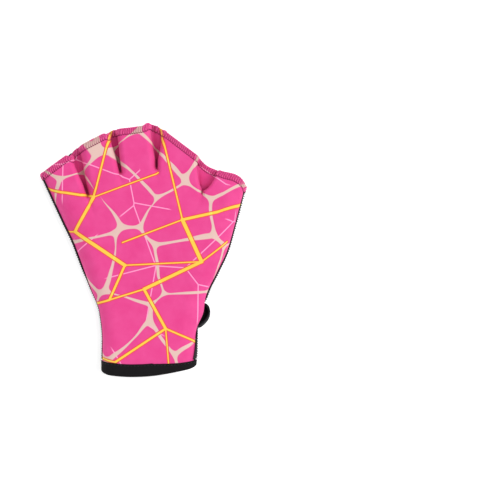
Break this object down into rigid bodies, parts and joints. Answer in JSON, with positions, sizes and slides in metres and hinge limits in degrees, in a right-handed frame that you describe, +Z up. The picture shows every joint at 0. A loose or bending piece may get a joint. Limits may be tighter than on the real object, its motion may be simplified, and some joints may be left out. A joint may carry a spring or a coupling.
{
  "type": "webbed swim glove",
  "caption": "Fingerless webbed neoprene swim glove for the left hand, lying palm down, with a printed back, a bound cuff and a wrist strap over a palm slit.",
  "frame": {"origin": "middle of the glove's box in plan, on the surface that it lies on", "axes": "+Y from the cuff towards the fingers, +X towards the thumb, +Z up out of the back of the hand"},
  "size_m": [0.1734, 0.2124, 0.0211],
  "materials": {
    "printed_neoprene": "matt knit over foam, pink with a cream and yellow print",
    "black_neoprene": "matt knit over foam",
    "seam_thread": "satin thread",
    "binding_tape": "matt stretch tape",
    "strap_cloth": "matt cloth",
    "loop_pile": "matt loop pile"
  },
  "bodies": {
    "root": {"back_panel": "printed_neoprene", "palm_panel": "black_neoprene", "little_side_seam": "seam_thread", "thumb_side_seam": "seam_thread", "cuff_binding": "binding_tape", "slit_binding": "binding_tape", "wrist_strap": "strap_cloth", "loop_patch": "loop_pile"}
  },
  "joints": []
}
